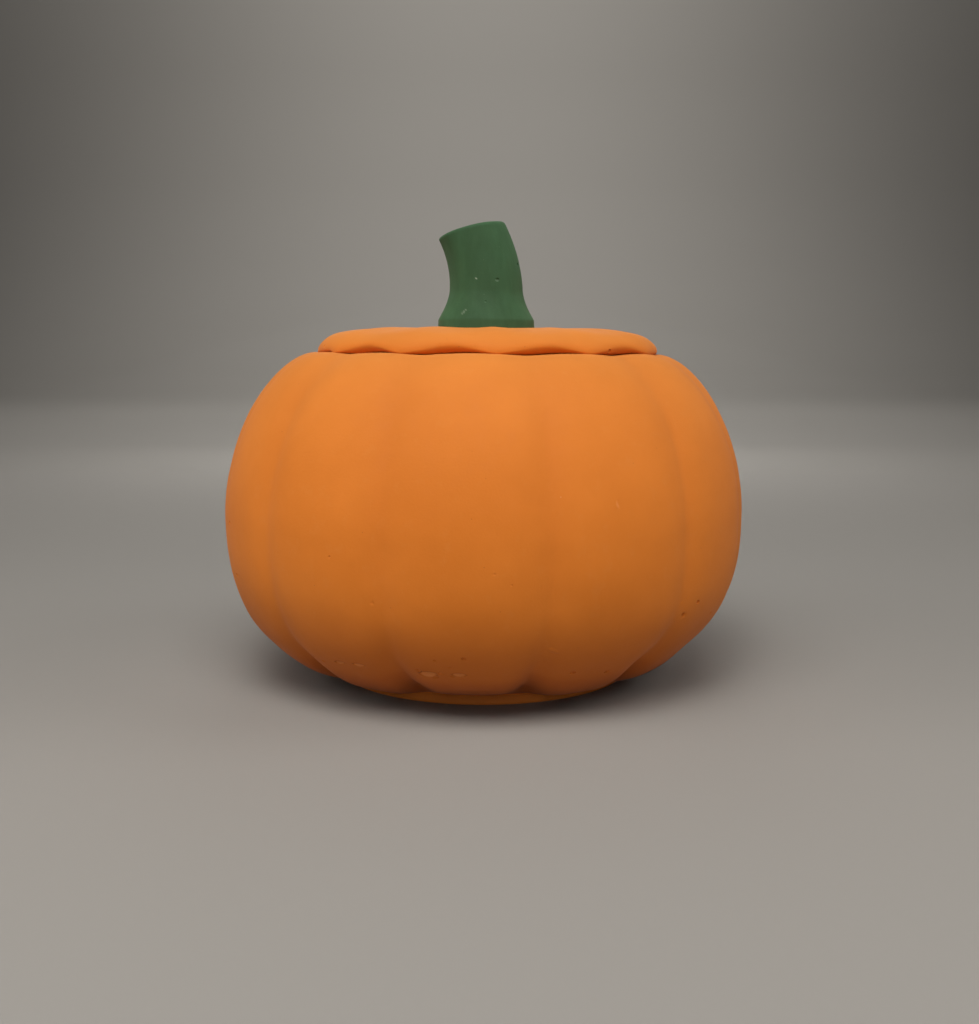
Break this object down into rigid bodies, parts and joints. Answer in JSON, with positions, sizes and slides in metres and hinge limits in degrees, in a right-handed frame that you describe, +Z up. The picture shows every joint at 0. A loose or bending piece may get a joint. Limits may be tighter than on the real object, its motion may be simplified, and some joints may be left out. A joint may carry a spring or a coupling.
{
  "type": "pumpkin-shaped lidded jar",
  "caption": "Squat ribbed pumpkin jar of matt orange cast plaster, with a low scalloped lid and a green bent stem as its knob.",
  "frame": {"origin": "centre of the flat underside of the jar's foot, on the surface it stands on", "axes": "+Z up through the stem; the front, as pictured, faces -Y; the stem leans towards -X"},
  "size_m": [0.1, 0.1, 0.0869],
  "materials": {
    "orange_cast": "matte",
    "green_paint": "matte"
  },
  "bodies": {
    "root": {"jar": "orange_cast", "lid": "orange_cast", "stem": "green_paint"}
  },
  "joints": []
}
